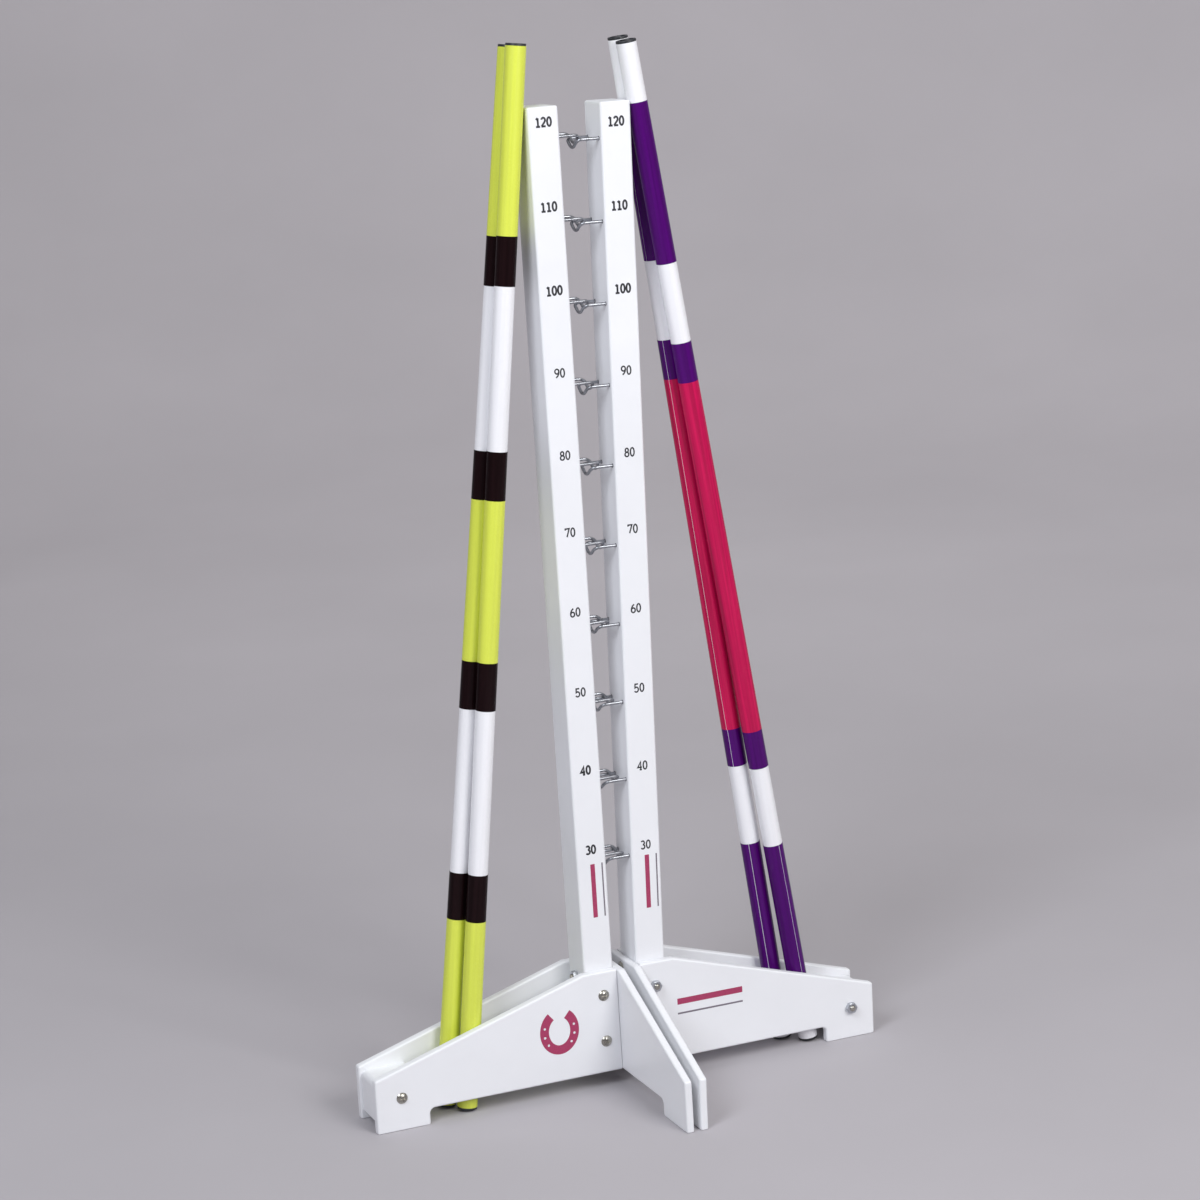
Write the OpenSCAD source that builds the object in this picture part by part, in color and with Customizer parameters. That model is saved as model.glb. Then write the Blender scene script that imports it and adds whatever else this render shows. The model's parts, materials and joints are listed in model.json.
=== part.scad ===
// A pair of wooden show jump wings, pushed together for storage, with four striped poles.
// The left wing is drawn in its own frame and the right wing is the same wing turned half round.
// In a wing's frame the foot of the post's inner face is at x = 0 and the foot runs out along -x.

/* [Post] */
// Width of the post across the front
post_w = 40; // [32:1:60]
// Depth of the post, which is also the width of the trough in the foot
post_d = 50; // [42:1:70]
// Height of the post above its topmost hook
post_head = 38; // [20:1:80]
// Rounding of the post's long edges and its top
post_edge = 3; // [1:0.5:6]
// Outward lean of the post and of the cross board bolted to it, in degrees
post_lean = 0.6; // [0:0.1:2]

/* [Foot] */
// Thickness of the side boards
board_t = 12; // [9:0.5:15]
// Thickness of the cross board
cross_t = 10; // [8:0.5:15]
// Length of a side board, from the post's inner face to its outer end
foot_reach = 332; // [300:1:420]
// Height of the boards at the post
board_top = 155; // [150:1:200]
// Length of the level top of a side board
side_flat = 48; // [30:1:80]
// Height of a side board at its outer end
side_end_h = 69; // [66:1:90]
// Length of the cross board, from front to back
cross_len = 458; // [400:1:600]
// Length of the level top of the cross board
cross_flat = 80; // [60:1:140]
// Height of the cross board at its two ends
cross_end_h = 66; // [50:1:90]
// Length of each pad that stands on the floor
pad_len = 70; // [50:1:90]
// Height of the boards' raised underside above the floor
arch_h = 21; // [12:1:30]
// Rounding of the arch beside a pad
arch_r = 7; // [2:0.5:10]

/* [End block] */
// Length of the block between the side boards
block_len = 57; // [40:1:70]
// Distance from the ends of the side boards to the block
block_inset = 3; // [0:0.5:10]
// Depth of the block's top below the ends of the side boards
block_drop = 5; // [2:0.5:10]
// Height of the block's underside above the floor
block_bottom = 12; // [4:1:24]
// Rounding of the block's outer top edge
block_edge = 8; // [2:0.5:15]

/* [Fasteners] */
// Diameter of the bolts
bolt_d = 8; // [6:0.5:10]
// Diameter of the domed bolt heads
head_d = 14.5; // [12:0.5:16]
// Height of the domed bolt heads
head_h = 4; // [3:0.25:5.5]
// Width of the nuts across their flats
nut_af = 13; // [12:0.5:17]
// Height of the nuts
nut_h = 6.5; // [4:0.25:8]
// Length of a bolt's end that stands out of its nut
bolt_tail = 3; // [1:0.5:6]
// Distance from the boards' top down to the upper frame bolt
frame_bolt_drop = 31; // [24:1:45]
// Height of the lower frame bolt
frame_bolt_low = 63; // [60:1:90]
// Height of the frame bolt through the end block
block_bolt_h = 42; // [36:1:46]
// Distance from the ends of the side boards to the bolt through the end block
block_bolt_in = 34; // [28:1:40]
// Distance from the boards' top down to the upper cross bolt
cross_bolt_drop = 12; // [9:0.5:12.5]
// Height of the lower cross bolt
cross_bolt_low = 42; // [34:1:44]

/* [Hooks] */
// Diameter of the hooks' wire
wire_d = 4; // [3:0.25:5]
// Distance between the two prongs of a hook
prong_pitch = 34; // [30:0.5:38]
// Distance from the post to the hook's cradle
hook_reach = 28; // [22:0.5:34]
// Depth of the cradle below the prongs
hook_dip = 10; // [7:0.5:14]
// Length of the prongs inside the post
hook_embed = 24; // [15:1:28]
// Bend radius where a prong turns into the cradle
bend_r = 5; // [4:0.25:6]
// Bend radius at the bottom of the cradle
valley_r = 6; // [4:0.25:7]
// Height of the lowest hook
first_level = 300; // [250:10:400]
// Height from one hook to the next
level_step = 100; // [80:10:120]
// Number of hooks on a wing
level_count = 10; // [8:1:12]
// Air between the two wings, where their hooks nest and their bolt heads meet
nest_clear = 0.8; // [0.6:0.1:3]
// Room between the lowest hook's cradle and the other wing's post
tip_room = 4; // [3:0.5:60]

/* [Poles] */
// Length of a pole with its caps
pole_len = 1320; // [1280:10:1600]
// Outer diameter of a pole's tube
pole_d = 25; // [20:0.5:28]
// Wall of a pole's tube
pole_wall = 2; // [1.5:0.25:4]
// Thickness of the coloured tape
tape_t = 0.35; // [0.2:0.05:0.8]
// Thickness of an end cap's flange
cap_h = 3; // [2:0.5:8]
// Length of an end cap's plug inside the tube
plug_len = 15; // [8:1:30]
// Depth of the dish in an end cap
dish_depth = 1.5; // [0.5:0.25:1.75]
// Width of the rim round the dish
cap_rim = 2.5; // [1.5:0.25:4]
// Width of the bar across the dish
cap_bar = 5; // [3:0.5:8]
// Length of a black band on a lime pole, as a share of the pole
black_share = 0.0455; // [0.02:0.0005:0.06]
// Length of the lime band at the foot of a lime pole, as a share of the pole
lime_foot_share = 0.1845; // [0.1:0.0005:0.2]
// Length of the lower white band on a lime pole, as a share of the pole
lime_low_white_share = 0.1575; // [0.08:0.0005:0.165]
// Length of the upper white band on a lime pole, as a share of the pole
lime_high_white_share = 0.1515; // [0.08:0.0005:0.165]
// Length of the lime band in the middle of a lime pole, as a share of the pole
lime_mid_share = 0.152; // [0.08:0.0005:0.16]
// Length of the white end of a purple pole, as a share of the pole
purple_end_share = 0.057; // [0.03:0.0005:0.09]
// Length of a long purple band, as a share of the pole
purple_long_share = 0.1515; // [0.08:0.0005:0.16]
// Length of the lower white band between purple bands, as a share of the pole
purple_low_white_share = 0.081; // [0.04:0.0005:0.09]
// Length of the upper white band between purple bands, as a share of the pole
purple_high_white_share = 0.076; // [0.04:0.0005:0.09]
// Length of a short purple band beside the red one, as a share of the pole
purple_short_share = 0.038; // [0.015:0.0005:0.045]
// Space between the end block and the nearer lime pole
lime_setback = 35; // [10:1:60]
// Space between the two lime poles at the floor, beside their clearance
lime_spread = 4.5; // [0:0.5:20]
// Space between the end block and the nearer purple pole
purple_setback = 12; // [5:1:40]
// Space between the two purple poles at the floor, beside their clearance
purple_spread = 9.5; // [0:0.5:20]

/* [Hidden] */
// Radial clearance of a pressed or threaded fit
fit = 0.05;
// Radial clearance of a bolt in its hole
bolt_fit = 0.2;
// Clearance round a pole, to its wing, to its neighbour and to the floor
pole_clear = 0.4;
// Overrun of a cut past the face that it opens
over = 1;
// Width and depth of the cross recess in a bolt head
recess_w = 1.4;
recess_depth = 1.6;
// Length of the cross recess as a share of the head
recess_share = 0.5;
$fn = 48;

white_paint = "#eceef2";
zinc = "#b9bcc0";
black_plastic = "#2a2c30";
lime = "#d7e15a";
black_tape = "#2a1518";
purple = "#4b0a66";
red = "#be1e50";

sides = ["left", "right"];
levels = [for (k = [0:level_count - 1]) first_level + k * level_step];
post_top = levels[level_count - 1] + post_head;

// Hook: angle of the cradle's arms, and how far the right hooks sit lower so that they nest
prong_y = prong_pitch / 2;
valley_rise = hook_dip - valley_r;
arm_angle = atan2(valley_rise, prong_y) + asin(valley_r / norm([prong_y, valley_rise]));
nest_drop = (wire_d + nest_clear) / cos(arm_angle);
wire_sides = 12;
bend_steps = 4;
bend_normal = [0, -sin(arm_angle), cos(arm_angle)];
bend_points = [
    for (k = [0:bend_steps])
        let (turn = 90 * k / bend_steps, fall = bend_r * (1 - cos(turn)))
            [
                hook_reach - bend_r * (1 - sin(turn)),
                prong_y - fall * cos(arm_angle),
                -fall * sin(arm_angle)
            ]
];
valley_points = [
    for (k = [0:bend_steps])
        let (turn = arm_angle * (1 - 2 * k / bend_steps))
            [hook_reach, valley_r * sin(turn), -valley_rise - valley_r * cos(turn)]
];
function mirrored(path) = [for (k = [len(path) - 1:-1:0]) [path[k].x, -path[k].y, path[k].z]];
function unit(v) = v / norm(v);
function ring_point(u, v, j) =
    wire_d / 2 * (u * cos(360 * j / wire_sides) + v * sin(360 * j / wire_sides));

// Lean: where a point of the upright post, at a distance out from its inner face, comes to lie
function leaned_point(out, up) = [
    out * cos(post_lean) + up * sin(post_lean),
    up * cos(post_lean) - out * sin(post_lean)
];

// Gap at the floor between the posts of the wings, pushed together until hooks or bolt heads are close
hook_gap = hook_reach + wire_d / 2 + tip_room - 2 * first_level * tan(post_lean);
head_gap = 2 * (cross_t + head_h) + nest_clear;
wing_gap = max(hook_gap, head_gap);

// Foot
board_face = post_d / 2 + board_t;
block_inner = foot_reach - block_inset - block_len;
block_top = side_end_h - block_drop;
frame_bolts = [
    leaned_point(post_w / 2, board_top - frame_bolt_drop),
    leaned_point(post_w / 2, frame_bolt_low),
    [foot_reach - block_bolt_in, block_bolt_h]
];
cross_bolts = [board_top - cross_bolt_drop, cross_bolt_low];
frame_grip = 2 * board_face;
cross_grip = cross_t + post_w;

// Poles: each stands on the floor in the trough and leans on the post's outer top edge
pole_r = pole_d / 2 + tape_t;
pole_od = 2 * pole_r;
pole_colours = ["lime", "purple"];
pole_places = ["front", "back"];
lime_head_share =
    1 - 4 * black_share - lime_foot_share - lime_low_white_share - lime_mid_share - lime_high_white_share;
red_share =
    1 - 2 * (purple_end_share + purple_long_share + purple_short_share)
    - purple_low_white_share - purple_high_white_share;
lime_bands = [
    ["lime", lime_foot_share], ["black", black_share], ["white", lime_low_white_share],
    ["black", black_share], ["lime", lime_mid_share], ["black", black_share],
    ["white", lime_high_white_share], ["black", black_share], ["lime", lime_head_share]
];
purple_bands = [
    ["white", purple_end_share], ["purple", purple_long_share], ["white", purple_low_white_share],
    ["purple", purple_short_share], ["red", red_share], ["purple", purple_short_share],
    ["white", purple_high_white_share], ["purple", purple_long_share], ["white", purple_end_share]
];
function setback_of(colour) = colour == "lime" ? lime_setback : purple_setback;
function spread_of(colour) = colour == "lime" ? lime_spread : purple_spread;
function side_of(colour) = colour == "lime" ? "left" : "right";
// The pole further from the post is the back one at the left and the front one at the right
function is_far(colour, place) = (colour == "lime") == (place == "back");
// Distances between the axes of two poles: the least anywhere, from front to back at the floor,
// where the trough sets it, and along the trough at the floor
pole_apart = pole_od + pole_clear;
foot_gap = post_d - pole_od - 2 * pole_clear;
function foot_step(colour) = sqrt(max(0, (pole_apart + spread_of(colour)) ^ 2 - foot_gap ^ 2));
function pole_foot(colour, far) =
    block_inner - setback_of(colour) - pole_r - (far ? 0 : foot_step(colour));
function pole_side(far) = far ? 1 : -1;
post_corner = leaned_point(post_w - post_edge, post_top - post_edge);
edge_away = post_edge + pole_r + pole_clear;
function edge_dist(foot) = norm([foot, 0] - post_corner);
function edge_len(foot) = sqrt(edge_dist(foot) ^ 2 - edge_away ^ 2);
function edge_lean(foot) =
    atan2(foot - post_corner[0], post_corner[1]) - asin(edge_away / edge_dist(foot));
// A pole too short for the post's top leans its own upper end on the post's face
pole_diagonal = norm([pole_len, pole_r]);
function end_lean(foot) =
    asin((foot * cos(post_lean) - post_w - pole_clear) / pole_diagonal) - atan2(pole_r, pole_len) - post_lean;
function pole_lean(foot) = edge_len(foot) < pole_len ? edge_lean(foot) : end_lean(foot);
// From front to back at the heads, the axes are just far enough apart for the poles to pass on the way up
function top_gap(colour) =
    let (step = foot_step(colour), away = norm([step, foot_gap]))
        foot_gap < pole_apart
            ? pole_apart / cos(atan2(step, foot_gap) - acos(pole_apart / away))
            : foot_gap;
function pole_skew(colour, foot) =
    atan2((top_gap(colour) - foot_gap) / 2, min(edge_len(foot), pole_len));
function pole_lift(lean, skew) = pole_r * sin(acos(cos(lean) * cos(skew))) + pole_clear;

wing_nodes = [
    "post", "front_board", "back_board", "cross_board", "end_block",
    "frame_bolts", "frame_nuts", "cross_bolts", "cross_nuts"
];
function hook_name(side, k) = str(side, "_hook_", k + 1);
function pole_name(colour, place, piece) = str(colour, "_", place, "_pole_", piece);
function pole_nodes(colour) = colour == "lime"
    ? ["tube", "caps", "lime_tape", "black_tape"]
    : ["tube", "caps", "purple_tape", "red_tape"];

// Places a wing's own frame: the right wing is the left one turned half round
module wing(side) {
    rotate([0, 0, side == "left" ? 0 : 180])
        translate([-wing_gap / 2, 0, 0])
            children();
}

// Leans the post, and what is fixed to it, outwards about the foot of its inner face
module leaned() {
    rotate([0, -post_lean, 0])
        children();
}

// A rectangle that starts at the origin, with both its upper corners rounded or only the one at +x
module round_top(size, r, both = true) {
    square([size.x, size.y - r]);
    translate([both ? r : 0, 0])
        square([size.x - (both ? 2 : 1) * r, size.y]);
    translate([size.x - r, size.y - r])
        circle(r = r);
    if (both)
        translate([r, size.y - r])
            circle(r = r);
}

// A drawing in x and z, made thickness deep from y = 0 towards the back
module upright(thickness) {
    translate([0, thickness, 0])
        rotate([90, 0, 0])
            linear_extrude(thickness)
                children();
}

// A drawing in y and z, made thickness deep from x = 0 towards the right
module sideways(thickness) {
    rotate([90, 0, 90])
        linear_extrude(thickness)
            children();
}

// A rod along x from the origin
module rod_x(d, h) {
    rotate([0, 90, 0])
        cylinder(d = d, h = h);
}

// A rod along y from the origin
module rod_y(d, h) {
    rotate([-90, 0, 0])
        cylinder(d = d, h = h);
}

module frame_bolt_holes() {
    for (place = frame_bolts)
        translate([-place[0], -board_face - over, place[1]])
            rod_y(bolt_d + 2 * bolt_fit, frame_grip + 2 * over);
}

module cross_bolt_holes() {
    for (height = cross_bolts)
        translate([-post_w - over, 0, height])
            rod_x(bolt_d + 2 * bolt_fit, cross_grip + 2 * over);
}

module rounded_post_blank() {
    height = post_top - arch_h;
    intersection() {
        translate([-post_w, -post_d / 2, 0])
            linear_extrude(height) {
                translate([post_edge, 0])
                    square([post_w - 2 * post_edge, post_d]);
                translate([0, post_edge])
                    square([post_w, post_d - 2 * post_edge]);
                for (x = [post_edge, post_w - post_edge], y = [post_edge, post_d - post_edge])
                    translate([x, y])
                        circle(r = post_edge);
            }
        translate([-post_w, -post_d / 2, 0])
            upright(post_d)
                round_top([post_w, height], post_edge);
        translate([-post_w, -post_d / 2, 0])
            sideways(post_w)
                round_top([post_d, height], post_edge);
    }
}

module post(drop) {
    color(white_paint)
        difference() {
            leaned()
                difference() {
                    translate([0, 0, arch_h])
                        rounded_post_blank();
                    cross_bolt_holes();
                    for (level = levels, y = [-prong_y, prong_y])
                        translate([-hook_embed, y, level - drop])
                            rod_x(wire_d + 2 * fit, hook_embed + over);
                }
            frame_bolt_holes();
        }
}

module side_outline() {
    difference() {
        polygon([
            [-foot_reach, 0], [0, 0], [-board_top * tan(post_lean), board_top],
            [-side_flat, board_top], [-foot_reach, side_end_h]
        ]);
        translate([over, -over])
            mirror([1, 0])
                round_top([foot_reach - pad_len + over, arch_h + over], arch_r, both = false);
    }
}

module side_board(y) {
    color(white_paint)
        difference() {
            translate([0, y, 0])
                upright(board_t)
                    side_outline();
            frame_bolt_holes();
        }
}

module cross_outline() {
    half = cross_len / 2;
    arch = cross_len - 2 * pad_len;
    difference() {
        polygon([
            [-half, 0], [half, 0], [half, cross_end_h],
            [cross_flat / 2, board_top], [-cross_flat / 2, board_top], [-half, cross_end_h]
        ]);
        translate([-arch / 2, -over])
            round_top([arch, arch_h + over], arch_r);
    }
}

module cross_board() {
    color(white_paint)
        leaned()
            difference() {
                sideways(cross_t)
                    cross_outline();
                cross_bolt_holes();
            }
}

module end_block() {
    color(white_paint)
        difference() {
            translate([-block_inner, -post_d / 2, block_bottom])
                upright(post_d)
                    mirror([1, 0])
                        round_top([block_len, block_top - block_bottom], block_edge, both = false);
            frame_bolt_holes();
        }
}

// A bolt along +y: its domed head seats at y = 0 and its shank runs through the grip and the nut
module bolt(grip) {
    dome_r = (head_d ^ 2 / 4 + head_h ^ 2) / (2 * head_h);
    rod_y(bolt_d, grip + nut_h + bolt_tail);
    rotate([90, 0, 0])
        difference() {
            rotate_extrude()
                intersection() {
                    translate([0, head_h - dome_r])
                        circle(r = dome_r);
                    square([head_d / 2, head_h]);
                }
            for (turn = [0, 90])
                rotate([0, 0, turn])
                    translate([-head_d * recess_share / 2, -recess_w / 2, head_h - recess_depth])
                        cube([head_d * recess_share, recess_w, recess_depth + over]);
        }
}

// A nut along +y, seated at y = 0
module nut() {
    difference() {
        rotate([-90, 0, 0])
            cylinder(d = nut_af / cos(30), h = nut_h, $fn = 6);
        translate([0, -over, 0])
            rod_y(bolt_d + 2 * fit, nut_h + 2 * over);
    }
}

module frame_bolt_group() {
    color(zinc)
        for (place = frame_bolts)
            translate([-place[0], -board_face, place[1]])
                bolt(frame_grip);
}

module frame_nut_group() {
    color(zinc)
        for (place = frame_bolts)
            translate([-place[0], board_face, place[1]])
                nut();
}

module cross_bolt_group() {
    color(zinc)
        leaned()
            for (height = cross_bolts)
                translate([cross_t, 0, height])
                    rotate([0, 0, 90])
                        bolt(cross_grip);
}

module cross_nut_group() {
    color(zinc)
        leaned()
            for (height = cross_bolts)
                translate([-post_w, 0, height])
                    rotate([0, 0, 90])
                        nut();
}

// A round wire along a path of points, closed at both ends
module wire(path) {
    last = len(path) - 1;
    along = [for (k = [0:last]) unit(path[min(k + 1, last)] - path[max(k - 1, 0)])];
    across = [for (k = [0:last]) unit(cross(along[k], bend_normal))];
    points = [
        for (k = [0:last], j = [0:wire_sides - 1])
            path[k] + ring_point(across[k], cross(along[k], across[k]), j)
    ];
    skin = [
        for (k = [0:last - 1], j = [0:wire_sides - 1])
            let (a = k * wire_sides + j, b = k * wire_sides + (j + 1) % wire_sides)
                each [[a, a + wire_sides, b + wire_sides], [a, b + wire_sides, b]]
    ];
    first_end = [for (j = [1:wire_sides - 2]) [0, j, j + 1]];
    last_end = [for (face = first_end) [face[0], face[2], face[1]] + last * wire_sides * [1, 1, 1]];
    polyhedron(points, concat(skin, first_end, last_end));
}

// Prong, bend, arm, valley, arm, bend and prong, in one piece of wire
module hook(height) {
    path = concat(
        [[-hook_embed, prong_y, 0]], bend_points, valley_points,
        mirrored(bend_points), [[-hook_embed, -prong_y, 0]]
    );
    color(zinc)
        leaned()
            translate([0, 0, height])
                wire(path);
}

// Places a pole's own frame: its axis is +z from the centre of its lower end
module pole(colour, place) {
    far = is_far(colour, place);
    foot = pole_foot(colour, far);
    lean = pole_lean(foot);
    skew = pole_skew(colour, foot);
    wing(side_of(colour))
        translate([-foot, pole_side(far) * foot_gap / 2, pole_lift(lean, skew)])
            rotate([-pole_side(far) * skew, lean, 0])
                children();
}

module tube() {
    color(white_paint)
        translate([0, 0, cap_h])
            difference() {
                cylinder(d = pole_d, h = pole_len - 2 * cap_h);
                translate([0, 0, -over])
                    cylinder(d = pole_d - 2 * pole_wall, h = pole_len - 2 * cap_h + 2 * over);
            }
}

// An end cap with its dished face at z = 0 and its plug towards +z
module cap() {
    difference() {
        cylinder(r = pole_r, h = cap_h);
        difference() {
            translate([0, 0, -over])
                cylinder(r = pole_r - cap_rim, h = dish_depth + over);
            translate([-pole_r, -cap_bar / 2, -over])
                cube([pole_od, cap_bar, dish_depth + over]);
        }
    }
    translate([0, 0, cap_h])
        cylinder(d = pole_d - 2 * pole_wall - 2 * fit, h = plug_len);
}

module caps() {
    color(black_plastic) {
        cap();
        translate([0, 0, pole_len])
            mirror([0, 0, 1])
                cap();
    }
}

function band_start(bands, k) = k == 0 ? 0 : band_start(bands, k - 1) + bands[k - 1][1] * pole_len;

// The bands of one tape colour, as thin sleeves between the two caps
module tape(bands, name, shade) {
    color(shade)
        for (k = [0:len(bands) - 1])
            if (bands[k][0] == name) {
                low = max(band_start(bands, k), cap_h);
                high = min(band_start(bands, k + 1), pole_len - cap_h);
                translate([0, 0, low])
                    difference() {
                        cylinder(r = pole_r, h = high - low);
                        translate([0, 0, -over])
                            cylinder(d = pole_d + 2 * fit, h = high - low + 2 * over);
                    }
            }
}

for (side = sides) {
    drop = side == "left" ? 0 : nest_drop;
    wing(side) post(drop);
    wing(side) side_board(side == "left" ? -board_face : post_d / 2);
    wing(side) side_board(side == "left" ? post_d / 2 : -board_face);
    wing(side) cross_board();
    wing(side) end_block();
    wing(side) frame_bolt_group();
    wing(side) frame_nut_group();
    wing(side) cross_bolt_group();
    wing(side) cross_nut_group();
    for (k = [0:level_count - 1])
        wing(side) hook(levels[k] - drop);
}
for (colour = pole_colours) for (place = pole_places) {
    pole(colour, place) tube();
    pole(colour, place) caps();
}
for (place = pole_places) {
    pole("lime", place) tape(lime_bands, "lime", lime);
    pole("lime", place) tape(lime_bands, "black", black_tape);
    pole("purple", place) tape(purple_bands, "purple", purple);
    pole("purple", place) tape(purple_bands, "red", red);
}
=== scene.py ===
"""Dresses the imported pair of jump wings: rounded painted timber, wire hooks, bolts and striped poles."""
import json
import math

import bmesh
import bpy
from mathutils import Matrix, Vector


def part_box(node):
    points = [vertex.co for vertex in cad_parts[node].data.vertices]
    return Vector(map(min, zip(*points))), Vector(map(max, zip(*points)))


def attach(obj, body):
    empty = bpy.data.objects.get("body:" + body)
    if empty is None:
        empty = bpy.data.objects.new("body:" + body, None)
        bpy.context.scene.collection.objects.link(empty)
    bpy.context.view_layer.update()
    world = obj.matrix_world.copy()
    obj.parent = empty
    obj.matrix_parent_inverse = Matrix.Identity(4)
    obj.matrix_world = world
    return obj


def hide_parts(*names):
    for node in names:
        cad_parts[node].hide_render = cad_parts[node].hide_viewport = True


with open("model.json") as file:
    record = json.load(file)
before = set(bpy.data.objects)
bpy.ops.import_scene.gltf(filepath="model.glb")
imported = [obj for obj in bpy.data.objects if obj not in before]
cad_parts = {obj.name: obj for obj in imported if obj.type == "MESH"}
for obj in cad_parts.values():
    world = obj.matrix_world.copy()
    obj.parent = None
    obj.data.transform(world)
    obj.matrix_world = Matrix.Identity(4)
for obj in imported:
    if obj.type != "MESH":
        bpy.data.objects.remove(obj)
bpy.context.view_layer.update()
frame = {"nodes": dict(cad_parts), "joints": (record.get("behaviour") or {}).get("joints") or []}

SIDES = ("left", "right")
POLES = ("lime_front_pole", "lime_back_pole", "purple_front_pole", "purple_back_pole")
HOOKS_PER_WING = 10

# Lean of the posts, and of what is fixed to them, away from each other
POST_LEAN = math.radians(0.6)

# Camera: focal length in pixels of the square picture, place in metres and angles in degrees
PICTURE_SIDE = 1200
FOCAL_PIXELS = 3200.0
CAMERA_PLACE = Vector((-1.4998, -3.5854, 1.4856))
CAMERA_YAW = math.radians(22.748)
CAMERA_PITCH = math.radians(-12.496)
CAMERA_ROLL = math.radians(-3.053)
SENSOR = 36.0
CAMERA_REACH = 100

# Stage: the round floor with its sweep and wall, where the lights aim, and the sky
FLOOR_FLAT_R = 4.0
FLOOR_SWEEP_R = 3.0
WALL_H = 6.0
SWEEP_STEPS = 12
FLOOR_SIDES = 96
LIGHT_TARGET = (0, 0, 0.6)
SKY_COLOUR = (0.97, 0.98, 1.0, 1.0)
SKY_STRENGTH = 0.42

# Nearness at which corners, faces, band ends, stroke ends, turns and floor points count as one
SAME_CORNER = 1e-6
SAME_FACE = 2e-5
SAME_END = 1e-4
SAME_STROKE_END = 1e-9
SAME_TURN = 1e-6
SAME_FLOOR_POINT = 1e-5

# The screen's colour curve: where its straight foot ends, and the foot's slope, the lift and the power
CURVE_KNEE = 0.04045
CURVE_SLOPE = 12.92
CURVE_LIFT = 0.055
CURVE_POWER = 2.4
FULL_LEVEL = 255

# Where most values of a noise pattern lie
NOISE_LOW = 0.3
NOISE_HIGH = 0.7

# Timber: the cross boards' thickness, then the rounding of open edges, of the posts, of edges that butt
# against another board and of edges on the floor
CROSS_T = 0.010
EDGE_R = 0.0026
POST_R = 0.0030
BUTT_R = 0.0006
FLOOR_R = 0.0020
JOINT_GAP = 0.0004
EDGE_STEPS = 4
BUTT_STEPS = 2
ROUND_PROFILE = 0.5

# Angles: edges that get rounded, stretches that count as straight, edges that shade sharp
CORNER_ANGLE = math.radians(25)
STRAIGHT_ANGLE = math.radians(0.5)
SHARP_ANGLE = math.radians(40)

# How near a point is to a joint, and to the floor or another board's face, to belong to it
BUTT_NEAR = 0.004
FACE_NEAR = 0.0005

# Bolts and nuts
BOLT_R = 0.004
HEAD_H = 0.004
HEAD_RIM = 0.0005
RECESS_LENGTH = 0.0072
RECESS_WIDTH = 0.0015
RECESS_DEPTH = 0.0017
THREAD_PITCH = 0.00125
THREAD_DEPTH = 0.0006
TAIL_ROUND = 0.0012
THREAD_LENGTH = 0.013
CHAMFER_SLOPE = math.tan(math.radians(30))
NUT_FACE_SHARE = 0.96
HALF_FLAT = math.pi / 6
TURN_SIDES = 48
DOME_STEPS = 8

# Wire hooks
WIRE_R = 0.002
BEND_R = 0.007
VALLEY_R = 0.011
HOOK_REACH = 0.028
HOOK_DIP = 0.010
HOOK_EMBED = 0.024
WIRE_SIDES = 16
BEND_STEPS = 8
# Width and thickness of the dark ring of painted shade round each prong's hole
HOLE_SHADE_WIDTH = 0.0006
HOLE_SHADE_T = 0.00006

# Poles
POLE_SIDES = 96
TAPE_CHAMFER = 0.00012
SEAM_WIDTH = 0.0007
CAP_ROUND = 0.0008
CAP_RIM = 0.0025
CAP_DISH = 0.0015
CAP_BAR = 0.005
CAP_PLUG = 0.015
CAP_FIT = 0.00005
CAP_CORE = 0.0005
CAP_FILLET = 0.0008
CAP_FILLET_STEP = 0.0003
CAP_STEPS = 5
BAR_FACES = ((0, 1, 2, 3), (7, 6, 5, 4), (0, 4, 5, 1), (1, 5, 6, 2), (2, 6, 7, 3), (3, 7, 4, 0))

# Turn of each band's seam about its pole, in degrees from the front, from the foot up
SEAM_BEHIND = 160
SEAMS = {
    ("purple_front_pole", "purple_tape"): (12, SEAM_BEHIND, SEAM_BEHIND, SEAM_BEHIND),
    ("purple_back_pole", "purple_tape"): (-34, -48, -53, -70),
    ("purple_back_pole", "red_tape"): (-53,),
}

# Numbers on the posts: a digit's width is a share of its height
NUMBER_H = 0.0112
DIGIT_W_SHARE = 0.6
NUMBER_PITCH = 0.0073
NUMBER_PEN = 0.0018
BOLD_PEN = 0.0024
INK_T = 0.00012
LAYER_T = 0.00003
ARC_STEPS = 20
LEAST_MITRE = 0.5
FIRST_NUMBER = 30
NUMBER_STEP = 10
BOLD_NUMBERS = {"left": (30, 40, 100, 110, 120), "right": (100, 110, 120)}
NUMBER_RISES = (0.0130, 0.0165, 0.0170, 0.0190, 0.0195, 0.0155, 0.0170, 0.0175, 0.0185, 0.0195)

# Plain stripes under the lowest numbers: low end, high end, place across the post, width
STRIPE_LOW = 0.224
STRIPE_HIGH = 0.294
BERRY_STRIPE = (0.0010, 0.0060)
GREY_STRIPE = (0.0140, 0.0018)

# Plain bars on the right wing's front board: ends from the joint with the cross board, height, width
BAR_NEAR = 0.051
BAR_FAR = 0.143
BERRY_BAR = (0.0960, 0.0080)
GREY_BAR = (0.0800, 0.0022)

# Horseshoe on the left wing's front board: its place from the joint with the cross board, its size, and
# in degrees half its opening and the turns of its nails
SHOE_OUT = 0.084
SHOE_UP = 0.088
SHOE_HALF_W = 0.0265
SHOE_HALF_H = 0.0305
SHOE_BAND = 0.0120
SHOE_OPEN = 32
SHOE_TOP = 90
FULL_TURN = 360
SHOE_STEPS = 48
NAIL_TURNS = (15, -13, -41, 165, 193, 221)
NAIL_R = 0.0016
NAIL_T = 0.00008
NAIL_SIDES = 16


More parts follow.
